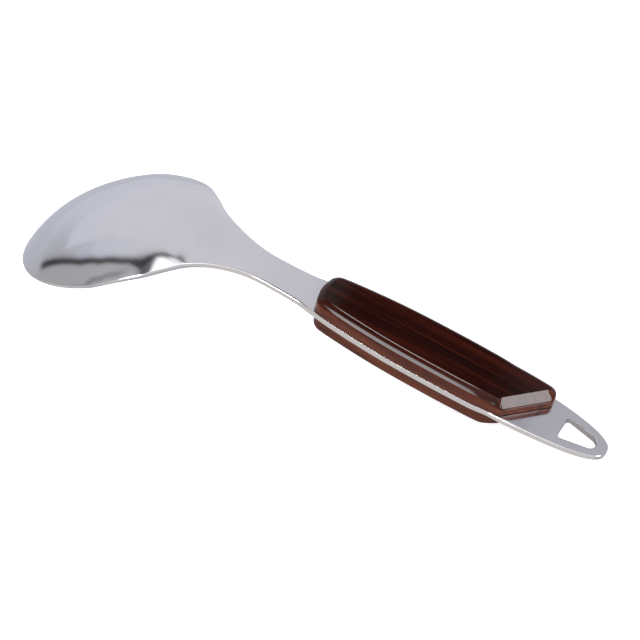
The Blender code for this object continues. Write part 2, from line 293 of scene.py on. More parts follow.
def tab_rings(inset, slot_grow):
    """Closed rings between the tab's outline and the slot, the first one on the outline."""
    split = sheet_grid(inset)[-1]
    outer = np.concatenate((split, tab_outline(inset)[1:-1]))
    inner = slot_ring(np.arctan2(outer[:, 1], outer[:, 0] - SLOT_CENTRE), slot_grow)
    share = np.linspace(0.0, 1.0, TAB_RINGS)[:, None, None]
    return outer * (1.0 - share) + inner * share


print("grid", ROWS, "by", COLUMNS, "and", TAB_RINGS, "rings round the slot")

# %% [markdown]
# ## Faces and edges of the sheet
#
# Both faces of the sheet use the same plan of lines, one at the surface and one pushed down by the
# sheet's thickness. The edges could be left square, but stamped cutlery is always tumbled: its edges are
# rolled in a flattened quarter round, while the punched slot keeps a nearly sharp one.

# %% Faces of the sheet
EDGE_ROLL = 0.9
SLOT_ROLL = 0.15
ROLL_DEPTH_SHARE = 0.55
ROLL_STEPS = 5


def face_layer(inset, slot_grow, depth_share, depth):
    """One face of the sheet: all its points, in a fixed order, pushed down into the steel."""
    places = np.concatenate((
        sheet_grid(inset).reshape(-1, 2), tab_rings(inset, slot_grow)[1:].reshape(-1, 2)))
    s, y = places.T
    down = depth + depth_share * sheet_thickness(s)
    return on_steel(s, y) - steel_normal(s, y) * down[:, None]


def outline_places(inset):
    """The closed outline: tip line, one side, round the tab, the other side back."""
    grid = sheet_grid(inset)
    return np.concatenate((grid[0], grid[1:, -1], tab_outline(inset)[1:-1], grid[:0:-1, 0]))


def grid_index(row, column):
    return row * COLUMNS + column


def ring_index(ring, k):
    """Ring 0 is the split line of the grid and the outline of the tab, which share no points here."""
    count = COLUMNS + TAB_POINTS - 2
    return ROWS * COLUMNS + (ring - 1) * count + k % count


layer_size = ROWS * COLUMNS + (TAB_RINGS - 1) * (COLUMNS + TAB_POINTS - 2)
outline_count = COLUMNS + 2 * (ROWS - 1) + TAB_POINTS - 2
ring_count = COLUMNS + TAB_POINTS - 2


def outline_index(k):
    """Where the outline's point k sits in a layer, or None for a point of the tab's outline."""
    k %= outline_count
    if k < COLUMNS:
        return grid_index(0, k)
    k -= COLUMNS
    if k < ROWS - 1:
        return grid_index(k + 1, COLUMNS - 1)
    k -= ROWS - 1
    if k < TAB_POINTS - 2:
        return -1 - k
    k -= TAB_POINTS - 2
    return grid_index(ROWS - 1 - k, 0)


print("one face has", layer_size, "points and its outline", outline_count)

# %% Weave the sheet together
roll = np.linspace(0.0, np.pi / 2, ROLL_STEPS + 1)


def build_sheet():
    """Points and faces of the closed sheet: upper face, rolled edges, lower face."""
    blocks = []
    faces = []

    def add(points):
        start = sum(len(block) for block in blocks)
        blocks.append(points)
        return start

    def strip(first, second):
        count = len(first)
        for k in range(count):
            n = (k + 1) % count
            faces.append((first[k], first[n], second[n], second[k]))

    borders = []
    for upper in (True, False):
        depth_share = 0.0 if upper else 1.0
        start = add(face_layer(EDGE_ROLL, SLOT_ROLL, depth_share, 0.0))
        s, y = tab_outline(EDGE_ROLL)[1:-1].T
        down = depth_share * sheet_thickness(s)
        tab_start = add(on_steel(s, y) - steel_normal(s, y) * down[:, None])
        local = []
        for row in range(ROWS - 1):
            for column in range(COLUMNS - 1):
                a, b = grid_index(row, column), grid_index(row, column + 1)
                local.append((start + a, start + a + COLUMNS, start + b + COLUMNS, start + b))
        split = [start + grid_index(ROWS - 1, column) for column in range(COLUMNS)]
        first = split + [tab_start + k for k in range(TAB_POINTS - 2)]
        rings = [first] + [
            [start + ring_index(ring, k) for k in range(ring_count)] for ring in range(1, TAB_RINGS)]
        for one, two in zip(rings, rings[1:]):
            for k in range(ring_count):
                n = (k + 1) % ring_count
                local.append((one[k], two[k], two[n], one[n]))
        faces.extend(local if upper else [face[::-1] for face in local])
        places = [outline_index(k) for k in range(outline_count)]
        border = [start + p if p >= 0 else tab_start - 1 - p for p in places]
        borders.append((border, rings[-1]))

    def rolled(places_at, radius):
        """Loops from the upper face's border over the edge to the lower face's border."""
        loops = []
        for lower in (False, True):
            turn = roll[::-1] if lower else roll
            for angle in turn[:-1] if lower else turn[1:]:
                s, y = places_at(radius * (1.0 - math.sin(angle))).T
                drop = ROLL_DEPTH_SHARE * radius * (1.0 - math.cos(angle)) * roll_share(s)
                down = sheet_thickness(s) - drop if lower else drop
                start = add(on_steel(s, y) - steel_normal(s, y) * down[:, None])
                loops.append([start + k for k in range(len(s))])
        return loops

    slot_angles = np.concatenate((sheet_grid(EDGE_ROLL)[-1], tab_outline(EDGE_ROLL)[1:-1]))
    slot_angles = np.arctan2(slot_angles[:, 1], slot_angles[:, 0] - SLOT_CENTRE)
    edge = [borders[0][0], *rolled(outline_places, EDGE_ROLL), borders[1][0]]
    hole = [borders[0][1], *rolled(lambda grow: slot_ring(slot_angles, grow), SLOT_ROLL), borders[1][1]]
    for one, two in zip(edge, edge[1:]):
        strip(one, two)
    outer_faces = len(faces)
    for one, two in zip(hole, hole[1:]):
        strip(two, one)
    return np.concatenate(blocks), faces, len(faces) - outer_faces


sheet_points, sheet_faces, slot_face_count = build_sheet()
print("steel sheet", len(sheet_points), "points", len(sheet_faces), "faces")

# %% [markdown]
# ## Laying the spoon down
#
# Everything so far has the handle level. On a table the spoon rests on the tip of its bowl and the end
# of its tab, so the handle falls a little towards the tab. The turn is a design value; the shift comes
# from the working model, whose steel already lies there.

# %% From the level handle to the table
FLAT_FACES_FIRST = 80
turn = Matrix.Rotation(math.radians(REST_PITCH), 3, "Y")
turned = sheet_points @ np.array(turn).T * MM
shift = Vector((
    (steel_low.x + steel_high.x) / 2.0 - (turned[:, 0].min() + turned[:, 0].max()) / 2.0,
    0.0,
    steel_low.z - turned[:, 2].min(),
))
to_table = Matrix.Translation(shift) @ turn.to_4x4() @ Matrix.Scale(MM, 4)
print("shift in mm", [round(value / MM, 2) for value in shift])


def finished_object(name, bm, material, cad_node):
    """Puts a piece drawn in millimetres on the table and ties it to the working model."""
    bmesh.ops.transform(bm, matrix=to_table, verts=bm.verts)
    mesh = bpy.data.meshes.new(name)
    bm.to_mesh(mesh)
    bm.free()
    mesh.shade_smooth()
    mesh.materials.append(material)
    made = bpy.data.objects.new(name, mesh)
    bpy.context.scene.collection.objects.link(made)
    even = made.modifiers.new("even_shading", "WEIGHTED_NORMAL")
    even.weight = FLAT_FACES_FIRST
    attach(made, "root")
    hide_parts(cad_node)
    print(name, len(mesh.polygons), "faces")
    return made


def mesh_from(points, faces):
    bm = bmesh.new()
    verts = [bm.verts.new(point) for point in points]
    for face in faces:
        bm.faces.new([verts[k] for k in face])
    bmesh.ops.recalc_face_normals(bm, faces=bm.faces)
    return bm


# %% [markdown]
# ## Finishes: small helpers
#
# A finish is a small network of nodes on a Principled shader. Each effect that several finishes share is
# a node group with named inputs and outputs, and each finish sets its own values on it. The helpers
# below make a material, a node and a group, so that the recipes that follow read like a list.

# %% Node helpers


def new_material(name, metallic=0.0, roughness=0.5):
    material = bpy.data.materials.new(name)
    material.use_nodes = True
    shader = material.node_tree.nodes["Principled BSDF"]
    shader.inputs["Metallic"].default_value = metallic
    shader.inputs["Roughness"].default_value = roughness
    return material, material.node_tree, shader


def node(tree, kind, **values):
    """A node of this kind; values are its properties, or its inputs where the name is an input's."""
    made = tree.nodes.new(kind)
    for key, value in values.items():
        if hasattr(made, key):
            setattr(made, key, value)
        else:
            made.inputs[key.replace("_", " ")].default_value = value
    return made


def new_group(name, inputs, outputs):
    """An empty group; inputs and outputs are lists of (name, socket kind, start value or None)."""
    tree = bpy.data.node_groups.new(name, "ShaderNodeTree")
    for label, kind, start in inputs:
        socket = tree.interface.new_socket(name=label, in_out="INPUT", socket_type=kind)
        if start is not None:
            socket.default_value = start
    for label, kind, _ in outputs:
        tree.interface.new_socket(name=label, in_out="OUTPUT", socket_type=kind)
    return tree, tree.nodes.new("NodeGroupInput").outputs, tree.nodes.new("NodeGroupOutput").inputs


def place_group(tree, group, **values):
    made = tree.nodes.new("ShaderNodeGroup")
    made.node_tree = group
    for key, value in values.items():
        made.inputs[key.replace("_", " ")].default_value = value
    return made


def calculate(tree, operation, first, second):
    """A Math node; each side is a number or an output."""
    made = node(tree, "ShaderNodeMath", operation=operation)
    for k, side in enumerate((first, second)):
        if isinstance(side, (int, float)):
            made.inputs[k].default_value = side
        else:
            tree.links.new(side, made.inputs[k])
    return made.outputs[0]


def spread(tree, vector, stretch, detail=2.0, distortion=0.0, roughness=0.5):
    """Noise drawn out by a stretch along each axis: larger numbers make it finer."""
    stretched = node(tree, "ShaderNodeVectorMath", operation="MULTIPLY")
    tree.links.new(vector, stretched.inputs[0])
    stretched.inputs[1].default_value = stretch
    noise = node(tree, "ShaderNodeTexNoise", Scale=1.0, Detail=detail, Roughness=roughness)
    noise.inputs["Distortion"].default_value = distortion
    tree.links.new(stretched.outputs[0], noise.inputs["Vector"])
    return noise.outputs["Fac"]


def ramp(tree, factor, stops):
    """A colour ramp with stops (place, colour)."""
    made = node(tree, "ShaderNodeValToRGB")
    made.color_ramp.elements.remove(made.color_ramp.elements[1])
    for k, (place, colour) in enumerate(stops):
        stop = made.color_ramp.elements[0] if k == 0 else made.color_ramp.elements.new(place)
        stop.position = place
        stop.color = (*colour, 1.0)
    tree.links.new(factor, made.inputs["Fac"])
    return made.outputs["Color"]


def along_handle(tree):
    """Object coordinates turned so that x runs along the handle."""
    place = node(tree, "ShaderNodeTexCoord").outputs["Object"]
    level = node(tree, "ShaderNodeMapping")
    level.inputs["Rotation"].default_value = (0.0, -math.radians(REST_PITCH), 0.0)
    tree.links.new(place, level.inputs["Vector"])
    return level.outputs["Vector"]


print("node helpers ready")

# %% [markdown]
# ## Polish marks
#
# Polished steel is never a perfect mirror: the last wheel leaves fine lines along the piece, and hands
# leave faint dull patches. Both could be painted, but noise drawn out along one axis gives the lines at
# the right scale on every side of the piece, and a soft round noise gives the patches.

# %% Polish marks group
LINE_STRETCH = (60.0, 3200.0, 1800.0)
PATCH_SHARE = 0.6
polish, given, made = new_group(
    "polish_marks",
    [("Vector", "NodeSocketVector", None), ("Line Scale", "NodeSocketFloat", 1.0),
     ("Patch Scale", "NodeSocketFloat", 60.0)],
    [("Lines", "NodeSocketFloat", None), ("Patches", "NodeSocketFloat", None),
     ("Height", "NodeSocketFloat", None)],
)
scaled = node(polish, "ShaderNodeVectorMath", operation="SCALE")
polish.links.new(given["Vector"], scaled.inputs[0])
polish.links.new(given["Line Scale"], scaled.inputs["Scale"])
lines = spread(polish, scaled.outputs[0], LINE_STRETCH, detail=3.0, distortion=0.2)
patches = node(polish, "ShaderNodeTexNoise", Detail=3.0, Roughness=0.6)
polish.links.new(given["Vector"], patches.inputs["Vector"])
polish.links.new(given["Patch Scale"], patches.inputs["Scale"])
polish.links.new(lines, made["Lines"])
polish.links.new(patches.outputs["Fac"], made["Patches"])
patch_height = calculate(polish, "MULTIPLY", patches.outputs["Fac"], PATCH_SHARE)
height = calculate(polish, "ADD", lines, patch_height)
polish.links.new(height, made["Height"])
print("group", polish.name)

# %% [markdown]
# ## Handling marks
#
# Everything that is picked up by hand gathers a few dull prints. On gloss lacquer they show as a faint
# change of gloss, on steel as a slightly duller patch. They could be painted one by one, but a noise cut
# off at a level leaves soft separate patches, and one group serves both finishes.

# %% Handling marks group
PRINT_CONTRAST = 3.0
handling, given, made = new_group(
    "handling_marks",
    [("Vector", "NodeSocketVector", None), ("Print Scale", "NodeSocketFloat", 90.0),
     ("Clean", "NodeSocketFloat", 0.55)],
    [("Dullness", "NodeSocketFloat", None)],
)
prints = node(handling, "ShaderNodeTexNoise", Detail=4.0, Roughness=0.65, Distortion=0.6)
handling.links.new(given["Vector"], prints.inputs["Vector"])
handling.links.new(given["Print Scale"], prints.inputs["Scale"])
over = calculate(handling, "SUBTRACT", prints.outputs["Fac"], given["Clean"])
dull = calculate(handling, "MULTIPLY", calculate(handling, "MAXIMUM", over, 0.0), PRINT_CONTRAST)
handling.links.new(dull, made["Dullness"])
print("group", handling.name)

# %% [markdown]
# ## Polished steel
#
# The sheet is stainless steel with a fine polish: a bright metal, a low roughness that the polish marks
# and the prints disturb a little, and a bump far too small to see as relief, which only breaks up the
# reflections. The punched wall of the slot and the turned pins are the same recipe with a duller, darker
# tone and coarser lines. On the slot's wall the darker tone is partly painted shade: it stands in for the
# shadowed floor under the tab that the wall reflects.

# %% Steel
LINE_ROUGHNESS = 0.05
PRINT_ROUGHNESS = 0.05
RELIEF = 0.0001


def steel_finish(name, colours, roughness, line_scale, bump):
    material, tree, shader = new_material(name, metallic=1.0)
    place = along_handle(tree)
    marks = place_group(tree, polish, Line_Scale=line_scale)
    hands = place_group(tree, handling, Clean=0.58)
    for group in (marks, hands):
        tree.links.new(place, group.inputs["Vector"])
    tone = ramp(tree, marks.outputs["Patches"], [(0.3, colours[0]), (0.7, colours[1])])
    tree.links.new(tone, shader.inputs["Base Color"])
    rough = calculate(tree, "MULTIPLY", marks.outputs["Lines"], LINE_ROUGHNESS)
    prints = calculate(tree, "MULTIPLY", hands.outputs["Dullness"], PRINT_ROUGHNESS)
    rough = calculate(tree, "ADD", calculate(tree, "ADD", rough, prints), roughness)
    tree.links.new(rough, shader.inputs["Roughness"])
    relief = node(tree, "ShaderNodeBump", Strength=bump, Distance=RELIEF)
    tree.links.new(marks.outputs["Height"], relief.inputs["Height"])
    tree.links.new(relief.outputs["Normal"], shader.inputs["Normal"])
    print("material", name)
    return material


sheet_steel = steel_finish(
    "polished_steel", ((0.80, 0.80, 0.835), (0.85, 0.85, 0.88)),
    roughness=0.09, line_scale=1.0, bump=0.05)
# The slot wall's darker base colour is partly painted shade, for the shadowed floor under the tab that it
# reflects.
punched_and_shaded_steel = steel_finish(
    "punched_slot_steel_painted_shade", ((0.42, 0.42, 0.44), (0.50, 0.50, 0.52)),
    roughness=0.22, line_scale=2.0, bump=0.2)
pin_steel = steel_finish(
    "turned_pin_steel", ((0.40, 0.40, 0.41), (0.52, 0.52, 0.53)),
    roughness=0.26, line_scale=2.0, bump=0.3)

# %% [markdown]
# ## Streaked hardwood under thick lacquer
#
# The scales are a dark, dense wood with nearly black streaks in deep red brown, the grain along the
# handle. Three noises drawn out along the grain make it: broad bands, streaks a millimetre or two wide
# and short pores. The lacquer over it is the shader's coat: clear, almost sharp, and nearly free of the
# wood's own relief, because it has been filled and rubbed flat.

# %% Streaked wood group
BAND_STRETCH = (9.0, 170.0, 120.0)
STREAK_STRETCH = (16.0, 620.0, 420.0)
PORE_STRETCH = (170.0, 3600.0, 3000.0)
BAND_SHARE = 0.42
STREAK_SHARE = 0.58
REDNESS_REACH = 0.1
PORE_LEVEL = 0.62
PORE_DEPTH = 0.05
streaked, given, made = new_group(
    "streaked_wood",
    [("Vector", "NodeSocketVector", None), ("Offset", "NodeSocketVector", None),
     ("Redness", "NodeSocketFloat", 0.5)],
    [("Color", "NodeSocketColor", None), ("Streaks", "NodeSocketFloat", None),
     ("Height", "NodeSocketFloat", None)],
)
moved = node(streaked, "ShaderNodeVectorMath", operation="ADD")
streaked.links.new(given["Vector"], moved.inputs[0])
streaked.links.new(given["Offset"], moved.inputs[1])
grain = moved.outputs[0]
bands = spread(streaked, grain, BAND_STRETCH, detail=2.0, distortion=0.5)
streaks = spread(streaked, grain, STREAK_STRETCH, detail=5.0, distortion=0.25, roughness=0.62)
pores = spread(streaked, grain, PORE_STRETCH, detail=2.0)
broad = calculate(streaked, "MULTIPLY", bands, BAND_SHARE)
narrow = calculate(streaked, "MULTIPLY", streaks, STREAK_SHARE)
# Redness carries each finish's own tone and, from lacquered_wood, the painted side light on the walls.
redness = calculate(streaked, "MULTIPLY", given["Redness"], REDNESS_REACH)
mixed = calculate(streaked, "ADD", calculate(streaked, "ADD", broad, narrow), redness)
pore = calculate(streaked, "GREATER_THAN", pores, PORE_LEVEL)
value = calculate(streaked, "SUBTRACT", mixed, calculate(streaked, "MULTIPLY", pore, PORE_DEPTH))
tones = ramp(streaked, value, [
    (0.34, (0.0030, 0.0006, 0.0005)), (0.46, (0.0090, 0.0010, 0.0006)),
    (0.55, (0.0230, 0.0024, 0.0011)), (0.64, (0.0430, 0.0062, 0.0022)),
    (0.76, (0.0800, 0.0160, 0.0060)), (0.92, (0.1350, 0.0330, 0.0150))])
streaked.links.new(tones, made["Color"])
streaked.links.new(streaks, made["Streaks"])
streaked.links.new(value, made["Height"])
print("group", streaked.name)

# %% [markdown]
# ## The lacquered scale finish
#
# The sides of a scale are painted more red and lighter than its faces: painted light, standing in for the
# light that falls on the walls. The surface's own direction says how much of a side it is, so the painted
# light follows the shape all round. Under the lacquer the wood itself has no shine; all the gloss is the
# coat's.

# %% Lacquered wood
FACE_TILT = 0.88
SIDE_TILT = 0.30
PAINTED_SIDE_LIGHT = 2.1
WOOD_ROUGHNESS = 0.4
STREAK_ROUGHNESS = 0.25
COAT_PRINTS = 0.1
COAT_ROUGHNESS = 0.035
COAT_IOR = 1.36


def lacquered_wood(name, offset, redness):
    material, tree, shader = new_material(name)
    place = along_handle(tree)
    wood = place_group(tree, streaked, Offset=offset)
    hands = place_group(tree, handling, Clean=0.6)
    for group in (wood, hands):
        tree.links.new(place, group.inputs["Vector"])
    facing = node(tree, "ShaderNodeSeparateXYZ")
    tree.links.new(node(tree, "ShaderNodeNewGeometry").outputs["Normal"], facing.inputs[0])
    # Painted light: the walls are made more red and lighter by the surface's direction, for the light that
    # falls on them.
    painted_side_light_mask = node(tree, "ShaderNodeMapRange")
    painted_side_light_mask.inputs["From Min"].default_value = FACE_TILT
    painted_side_light_mask.inputs["From Max"].default_value = SIDE_TILT
    tree.links.new(calculate(tree, "ABSOLUTE", facing.outputs["Z"], 0.0), painted_side_light_mask.inputs["Value"])
    painted_side_light = calculate(tree, "MULTIPLY", painted_side_light_mask.outputs["Result"], PAINTED_SIDE_LIGHT)
    tree.links.new(calculate(tree, "ADD", painted_side_light, redness), wood.inputs["Redness"])
    tree.links.new(wood.outputs["Color"], shader.inputs["Base Color"])
    rough = calculate(tree, "MULTIPLY", wood.outputs["Streaks"], STREAK_ROUGHNESS)
    prints = calculate(tree, "MULTIPLY", hands.outputs["Dullness"], COAT_PRINTS)
    rough = calculate(tree, "ADD", calculate(tree, "ADD", rough, prints), WOOD_ROUGHNESS)
    tree.links.new(rough, shader.inputs["Roughness"])
    relief = node(tree, "ShaderNodeBump", Strength=0.15, Distance=RELIEF)
    tree.links.new(wood.outputs["Height"], relief.inputs["Height"])
    tree.links.new(relief.outputs["Normal"], shader.inputs["Normal"])
    shader.inputs["Specular IOR Level"].default_value = 0.0
    shader.inputs["Coat Weight"].default_value = 1.0
    shader.inputs["Coat Roughness"].default_value = COAT_ROUGHNESS
    shader.inputs["Coat IOR"].default_value = COAT_IOR
    print("material", name)
    return material


upper_wood = lacquered_wood("upper_scale_lacquered_wood", (0.0, 0.0, 0.0), 0.5)
lower_wood = lacquered_wood("lower_scale_lacquered_wood", (0.31, 0.07, 0.05), 0.6)

# %% [markdown]
# ## The hidden pins
#
# Three short turned pins sit in blind holes under the scales and go through the tang. Their shape in the
# working model is already right, so they keep it and only get their finish: steel left as it comes from
# the lathe, duller and greyer than the sheet, with coarser lines.

# %% Pins
for pin in ("front_handle_pin", "middle_handle_pin", "tail_handle_pin"):
    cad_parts[pin].data.materials.clear()
    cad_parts[pin].data.materials.append(pin_steel)
    print(pin, "in turned steel")

# %% [markdown]
# ## The sheet as an object
#
# The woven points and faces become one mesh in the polished steel. It stands for the model's stamped
# sheet, which stays hidden underneath for contact, and rides on the same body. The wall of the punched
# slot is out of the polishing wheel's reach, so it is duller; its darker colour is partly painted shade,
# for the shadowed floor under the tab that it reflects.

# %% Sheet object
sheet_mesh = mesh_from(sheet_points, sheet_faces)
sheet = finished_object(
    "bowl_neck_and_tang", sheet_mesh, sheet_steel, "bowl_and_tang")
# The slot wall gets the darker steel: duller from the punch, and partly painted shade.
sheet.data.materials.append(punched_and_shaded_steel)
for polygon in sheet.data.polygons[-slot_face_count:]:
    polygon.material_index = 1
print("slot wall", slot_face_count, "faces")

# %% [markdown]
# ## The handle scales
#
# Each scale is a slab whose outline follows the tang, with a slightly bowed front and a diagonal cut at
# the tail. It could be a box with a Bevel, but one bevel has one width and one angle, and here the sides
# have a steep wall, a shoulder and a crease, while the tail slopes down in one long facet. So the outline
# is drawn first and a profile is carried round it.

# %% Scale outline
SCALE_SEAT = 0.05
SCALE_HEIGHT = 7.1
SCALE_WALL = 4.85
SCALE_SHOULDER = 2.4
SCALE_FRONT = {"upper_scale": 132.9, "lower_scale": 133.8}
SCALE_FRONT_BOW = 1.6
SCALE_FRONT_CORNER = 5.0
SCALE_FRONT_ARC = 12.0
TAIL_CUT_NEAR = 213.4
TAIL_CUT_FAR = 232.4
TAIL_NEAR_CORNER = {"upper_scale": 4.4, "lower_scale": 10.0}
TAIL_FAR_CORNER = 3.8
TAIL_SLOPE = 42.0
TAIL_WALL = 3.9
TAIL_SHIFT = {"upper_scale": 0.0, "lower_scale": -2.2}
HANDLE_OFFSET = float(np.interp(LEVEL_PLACE, spine_s, spine_x)) - LEVEL_PLACE


def rounded(corners, steps=10):
    """An outline with its corners rounded: corners is a list of (x, y, radius)."""
    outline = []
    for k, (x, y, radius) in enumerate(corners):
        here = Vector((x, y))
        if radius == 0.0:
            outline.append(here)
            continue
        back = (Vector(corners[k - 1][:2]) - here).normalized()
        ahead = (Vector(corners[(k + 1) % len(corners)][:2]) - here).normalized()
        half = back.angle(ahead) / 2.0
        centre = here + (back + ahead).normalized() * radius / math.sin(half)
        start = here + back * radius / math.tan(half) - centre
        sweep = start.angle_signed(here + ahead * radius / math.tan(half) - centre)
        outline += [centre + Matrix.Rotation(-sweep * n / steps, 2) @ start for n in range(steps + 1)]
    return outline


def tail_cut(shift):
    """The two ends of the diagonal cut in the plan, near side first."""
    return [
        Vector((place + shift, sign * float(half_width(place + shift))))
        for place, sign in ((TAIL_CUT_NEAR, -1.0), (TAIL_CUT_FAR, 1.0))]


def scale_outline(name):
    front = SCALE_FRONT[name] + SCALE_FRONT_BOW
    width = float(half_width(front))
    cut_near, cut_far = tail_cut(TAIL_SHIFT[name])
    near_corner = TAIL_NEAR_CORNER[name]
    side = np.arange(front + SCALE_FRONT_CORNER + 1.0, TAIL_CUT_FAR, 2.0)
    near = [s for s in side if s < cut_near.x - near_corner * 0.6]
    far = [s for s in side if s < cut_far.x - TAIL_FAR_CORNER * 2.6]
    corners = [(s, -float(half_width(s)), 0.0) for s in near]
    corners += [(*cut_near, near_corner), (*cut_far, TAIL_FAR_CORNER)]
    corners += [(s, float(half_width(s)), 0.0) for s in reversed(far)]
    corners += [
        (front, width, SCALE_FRONT_CORNER),
        (SCALE_FRONT[name], 0.0, SCALE_FRONT_ARC),
        (front, -width, SCALE_FRONT_CORNER),
    ]
    return [point + Vector((HANDLE_OFFSET, 0.0)) for point in rounded(corners)]


print("scale outline", len(scale_outline("upper_scale")), "points")

# %% [markdown]
# ## The scale's profile
#
# The side profile climbs a wall, turns over a shoulder and ends in a crease at the flat face; the tail
# profile climbs a lower wall and one long slope. Both have the same number of points, so round the tail's
# corners one turns smoothly into the other. The lower scale is the same shape under the tang.

# %% Scale body
FLANK_MIDDLE = (1.1, 6.05)
SIDE_FILLETS = (0.8, 0.35)
TAIL_FILLETS = (0.4, 0.22)
MIDDLE_FILLET = 0.6
TAIL_TURN = (0.72, 0.98)


def outward_normals(points):
    """Unit normals of a closed outline, pointing away from it."""
    made = []
    for k, point in enumerate(points):
        along = (points[(k + 1) % len(points)] - points[k - 1]).normalized()
        made.append(Vector((along.y, -along.x)))
    return made


def fillet(before, corner, after, radius, steps):
    """Points of a profile rounding its corner."""
    back = (Vector(before) - Vector(corner)).normalized()
    ahead = (Vector(after) - Vector(corner)).normalized()
    a = Vector(corner) + back * radius
    b = Vector(corner) + ahead * radius
    points = []
    for n in range(steps + 1):
        t = n / steps
        points.append(a * (1 - t) ** 2 + Vector(corner) * 2 * t * (1 - t) + b * t * t)
    return points


def profile_through(waist, middle, top, waist_radius, crease_radius):
    """Inset and height from the seat to the flat face, rounded at each corner."""
    seat_edge = (0.0, 0.45)
    profile = [Vector((0.15, SCALE_SEAT)), Vector(seat_edge)]
    profile += fillet(seat_edge, waist, middle, waist_radius, 5)
    profile += fillet(waist, middle, top, MIDDLE_FILLET, 5)
    profile += fillet(middle, top, (top[0] + 2.0, SCALE_HEIGHT), crease_radius, 3)
    return profile


def build_scale(name):
    """A scale drawn over the tang: side and tail have their own profile, blended round the corners."""
    run = (SCALE_HEIGHT - TAIL_WALL) / math.tan(math.radians(TAIL_SLOPE))
    half_way = (run / 2, (TAIL_WALL + SCALE_HEIGHT) / 2)
    shoulder = (SCALE_SHOULDER, SCALE_HEIGHT)
    side = profile_through((0.0, SCALE_WALL), FLANK_MIDDLE, shoulder, *SIDE_FILLETS)
    tail = profile_through((0.0, TAIL_WALL), half_way, (run, SCALE_HEIGHT), *TAIL_FILLETS)
    points = scale_outline(name)
    cut_near, cut_far = tail_cut(TAIL_SHIFT[name])
    along = (cut_far - cut_near).normalized()
    behind = Vector((along.y, -along.x))
    bm = bmesh.new()
    loops = [[] for _ in side]
    for point, normal in zip(points, outward_normals(points)):
        tailness = float(ease((normal.dot(behind) - TAIL_TURN[0]) / (TAIL_TURN[1] - TAIL_TURN[0])))
        for loop, one, two in zip(loops, side, tail):
            inset, height = one.lerp(two, tailness)
            loop.append(bm.verts.new((point.x - normal.x * inset, point.y - normal.y * inset, height)))
    for one, two in zip(loops, loops[1:]):
        for k in range(len(points)):
            n = (k + 1) % len(points)
            bm.faces.new((one[k], one[n], two[n], two[k]))
    bm.faces.new(loops[0][::-1])
    bm.faces.new(loops[-1])
    bmesh.ops.recalc_face_normals(bm, faces=bm.faces)
    return bm


for name, cad_node, wood in (
        ("upper_scale", "upper_handle_scale", upper_wood),
        ("lower_scale", "lower_handle_scale", lower_wood)):
    bm = build_scale(name)
    if name == "lower_scale":
        mirror = Matrix.Translation((0.0, 0.0, -SHEET)) @ Matrix.Diagonal((1.0, 1.0, -1.0, 1.0))
        bmesh.ops.transform(bm, matrix=mirror, verts=bm.verts)
        bmesh.ops.reverse_faces(bm, faces=bm.faces)
    finished_object(name, bm, wood, cad_node)

# %% [markdown]
# ## Floor
#
# A plain sheet of white paper, far larger than the spoon. Paper under studio light is close to white, and
# its own small glow stands for the light that the tent throws back and forth, so the shadow stays faint.
# The steel doesn't show it: below its horizon it shows the near cloth that the tent describes.

# %% Floor
FLOOR_HALF_SIZE = 30.0
FLOOR_GLOW = 0.65
floor_mesh = bpy.data.meshes.new("studio_floor")
bm = bmesh.new()
bmesh.ops.create_grid(bm, x_segments=2, y_segments=2, size=FLOOR_HALF_SIZE)
bm.to_mesh(floor_mesh)
bm.free()
floor = bpy.data.objects.new("studio_floor", floor_mesh)
bpy.context.scene.collection.objects.link(floor)
paper, tree, shader = new_material("pale_paper", roughness=0.9)
shader.inputs["Base Color"].default_value = (0.9, 0.9, 0.9, 1.0)
shader.inputs["Emission Color"].default_value = (1.0, 1.0, 1.0, 1.0)
shader.inputs["Emission Strength"].default_value = FLOOR_GLOW
floor_mesh.materials.append(paper)
floor.location.z = cad_low.z - 0.0002
floor.visible_glossy = False
print("floor", round(floor.location.z, 5), "m")

# %% [markdown]
# ## Studio light
#
# A polished spoon shows its surroundings, so the studio is part of its look. The usual answer is a tent
# of white cloth, open along a narrow slit towards the camera, with soft boxes behind the near cloth and
# at the tail end. A ring of separate lamps would leave hard dots in the steel, so the tent is the
# world's colour, written as smooth functions of direction: x and y say where on the tent, z how high.

# %% Directions and helpers
world = bpy.data.worlds.new("cloth_tent")
bpy.context.scene.world = world
world.use_nodes = True
tree = world.node_tree
background = tree.nodes["Background"]
split = node(tree, "ShaderNodeSeparateXYZ")
tree.links.new(node(tree, "ShaderNodeTexCoord").outputs["Generated"], split.inputs[0])
along_x, across_y, up_z = split.outputs


def graph(source, low, high, stops):
    """A ramp over a range of a value; stops are (value, grey or colour)."""
    reach = node(tree, "ShaderNodeMapRange")
    reach.inputs["From Min"].default_value = low
    reach.inputs["From Max"].default_value = high
    tree.links.new(source, reach.inputs["Value"])
    return ramp(tree, reach.outputs["Result"], [
        ((value - low) / (high - low), tone if isinstance(tone, tuple) else (tone,) * 3)
        for value, tone in stops])


def blend(factor, first, second):
    made = node(tree, "ShaderNodeMix", data_type="RGBA")
    made.clamp_factor = True
    ends = (made.inputs["Factor"], made.inputs["A"], made.inputs["B"])
    for source, socket in zip((factor, first, second), ends):
        if isinstance(source, tuple):
            socket.default_value = (*source, 1.0)
        else:
            tree.links.new(source, socket)
    return made.outputs["Result"]


print("tent seen by direction, world", world.name)

